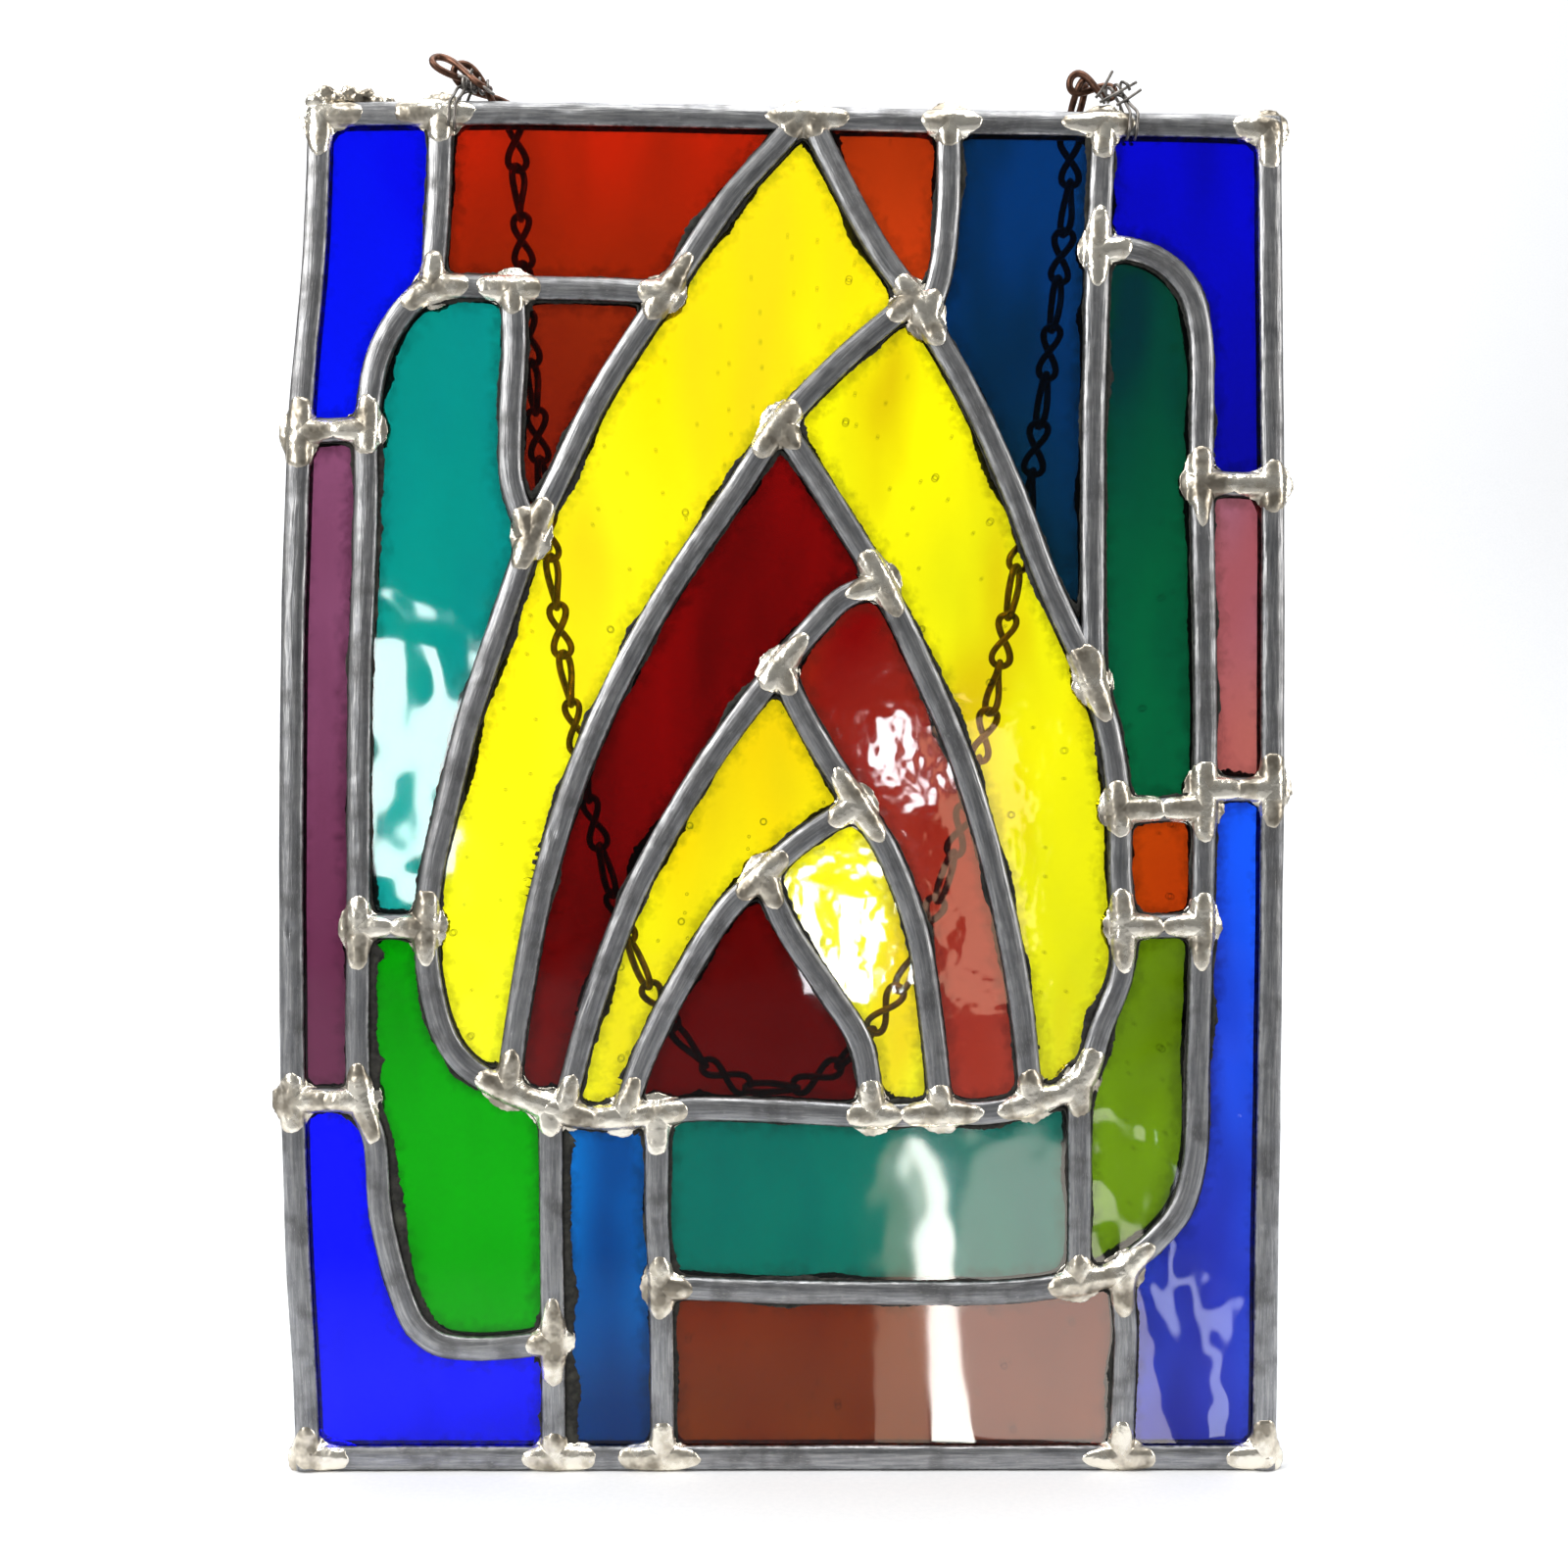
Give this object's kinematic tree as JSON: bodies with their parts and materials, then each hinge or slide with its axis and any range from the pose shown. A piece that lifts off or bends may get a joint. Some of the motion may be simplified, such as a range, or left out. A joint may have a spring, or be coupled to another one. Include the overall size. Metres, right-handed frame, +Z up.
{
  "type": "stained glass window panel",
  "caption": "Upright leaded stained glass panel with a flame pattern in coloured glass, wire ties on its top edge and a link chain hanging behind it",
  "frame": {"origin": "the middle of the top edge, halfway between the two wire ties that the panel hangs from", "axes": "+X to the viewer's right seen from the front, +Y out of the back where the chain hangs, +Z up"},
  "size_m": [0.2099, 0.0148, 0.2914],
  "materials": {
    "lead": "dull grey domed lead came with bright solder at the joints and dark cement along its edges",
    "tie_wire": "thin grey tinned wire",
    "chain_copper": "copper-brown wire links, slightly tarnished",
    "glass_blue": "clear cathedral glass, strong royal blue, lightly rippled",
    "glass_deep_blue": "clear cathedral glass, deep blue",
    "glass_sea_blue": "clear cathedral glass, sea blue",
    "glass_teal": "clear cathedral glass, teal",
    "glass_deep_teal": "clear cathedral glass, dark blue-teal",
    "glass_green": "clear cathedral glass, mid green",
    "glass_green_teal": "clear cathedral glass, bottle green",
    "glass_olive": "clear cathedral glass, olive to leaf green",
    "glass_mauve": "clear cathedral glass, mauve",
    "glass_ruby": "clear cathedral glass, dark ruby red",
    "glass_orange_red": "clear cathedral glass, orange red",
    "glass_orange": "clear cathedral glass, burnt orange",
    "glass_amber": "clear cathedral glass, amber with salmon streaks",
    "glass_yellow": "clear seedy glass, bright yellow with amber edges",
    "glass_gold": "clear seedy glass, golden yellow"
  },
  "bodies": {
    "root": {"border_top": "lead", "border_left": "lead", "border_right": "lead", "border_bottom": "lead", "lead_upper_bar": "lead", "lead_shelf": "lead", "lead_left_sweep": "lead", "lead_rung_a": "lead", "lead_rung_b": "lead", "lead_rung_c": "lead", "lead_notch": "lead", "lead_flame_left": "lead", "lead_flame_base": "lead", "lead_flame_right": "lead", "lead_strut": "lead", "lead_pier": "lead", "lead_right_arch": "lead", "lead_rung_d": "lead", "lead_rung_e": "lead", "lead_rung_f": "lead", "lead_rung_g": "lead", "lead_gold_left": "lead", "lead_gold_right": "lead", "lead_ember_left": "lead", "lead_inner_right": "lead", "lead_core_left": "lead", "lead_core_right": "lead", "lead_sill_post": "lead", "lead_sill": "lead", "lead_post_b": "lead", "lead_post_a": "lead", "lead_post_c": "lead", "pane_top_left": "glass_blue", "pane_top_flame_side": "glass_orange_red", "pane_notch": "glass_ruby", "pane_left_tall": "glass_teal", "pane_left_strip": "glass_mauve", "pane_lower_left": "glass_green", "pane_bottom_corner_left": "glass_blue", "pane_gold_left": "glass_yellow", "pane_gold_right": "glass_yellow", "pane_ember_left": "glass_ruby", "pane_ember_right": "glass_ruby", "pane_inner_left": "glass_gold", "pane_inner_right": "glass_gold", "pane_core": "glass_ruby", "pane_top_wedge": "glass_orange_red", "pane_top_right_inner": "glass_deep_teal", "pane_top_right": "glass_deep_blue", "pane_right_tall": "glass_green_teal", "pane_right_strip": "glass_mauve", "pane_square": "glass_orange", "pane_bottom_corner_right": "glass_blue", "pane_lower_right": "glass_olive", "pane_sill": "glass_teal", "pane_bottom_left_middle": "glass_sea_blue", "pane_bottom_middle": "glass_amber", "tie_left": "tie_wire", "tie_right": "tie_wire", "hanging_chain": "chain_copper"}
  },
  "joints": []
}
